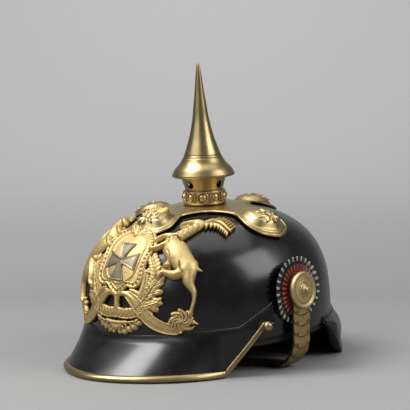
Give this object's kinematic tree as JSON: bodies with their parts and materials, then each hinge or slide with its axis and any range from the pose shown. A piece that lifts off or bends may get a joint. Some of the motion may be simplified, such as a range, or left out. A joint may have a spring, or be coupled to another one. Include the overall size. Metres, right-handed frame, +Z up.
{
  "type": "spiked parade helmet",
  "caption": "Spiked leather parade helmet with a brass front plate, four-armed spike base, cockades and a scaled chin strap, standing on its brims.",
  "frame": {"origin": "middle of the helmet's footprint, at the height of the surface it stands on", "axes": "+Z up, -Y the way the helmet faces, +X the wearer's left"},
  "size_m": [0.2188, 0.2722, 0.2421],
  "materials": {
    "black_leather": "lacquered, glossy, worn",
    "plain_leather": "soft, brown",
    "strap_leather": "dark backing leather",
    "polished_brass": "polished, tarnished in the grooves",
    "gilt_brass": "matt gilding",
    "silvered_brass": "silvered",
    "inner_brass": "dull, unpolished",
    "black_enamel": "painted, satin",
    "red_enamel": "painted, satin",
    "steel_wire": "worn",
    "liner_cloth": "woven",
    "cord": "twisted cord"
  },
  "bodies": {
    "helmet": {"skull_shell": "black_leather", "front_visor": "black_leather", "neck_guard": "black_leather", "visor_trim": "polished_brass", "trim_end_balls": "polished_brass", "trim_ball_nuts": "inner_brass", "cross_base": "polished_brass", "base_star_studs": "polished_brass", "star_stud_nuts": "inner_brass", "spike_neck": "polished_brass", "pearl_ring": "polished_brass", "front_plate": "gilt_brass", "plate_posts": "inner_brass", "plate_post_nuts": "inner_brass", "plate_cross": "silvered_brass", "left_cockade": "black_enamel", "left_cockade_ring": "red_enamel", "left_rosette": "polished_brass", "left_rosette_screw": "polished_brass", "left_rosette_nut": "inner_brass", "right_cockade": "black_enamel", "right_cockade_ring": "red_enamel", "right_rosette": "polished_brass", "right_rosette_screw": "polished_brass", "right_rosette_nut": "inner_brass", "sweatband": "plain_leather", "skull_liner": "liner_cloth", "liner_drawstring": "cord", "rear_spine": "polished_brass", "spine_rivet": "polished_brass"},
    "spike_thread": {"spike_sleeve": "inner_brass"},
    "spike": {"spike": "polished_brass"},
    "chin_strap": {"left_chin_leather": "strap_leather", "left_chin_scales": "polished_brass", "right_chin_leather": "strap_leather", "right_chin_scales": "polished_brass", "chin_buckle": "steel_wire", "buckle_tongue": "steel_wire", "strap_keeper": "inner_brass"}
  },
  "joints": [
    {"name": "spike_rise", "type": "slide", "parent": "helmet", "child": "spike_thread", "axis": [0, -0.0555, 0.9985], "range_m": [0, 0.006]},
    {"name": "spike_turn", "type": "hinge", "parent": "spike_thread", "child": "spike", "pos_m": [0, -0.00039, 0.15002], "axis": [0, -0.0555, 0.9985], "range_deg": [0, 1440]},
    {"name": "strap_swing", "type": "hinge", "parent": "helmet", "child": "chin_strap", "pos_m": [0, 0.00043, 0.06323], "axis": [1, 0, 0], "range_deg": [-25, 30]}
  ],
  "couplings": [
    {"joint": "spike_rise", "follows": "spike_turn", "m_per_rad": 0.00023873}
  ]
}
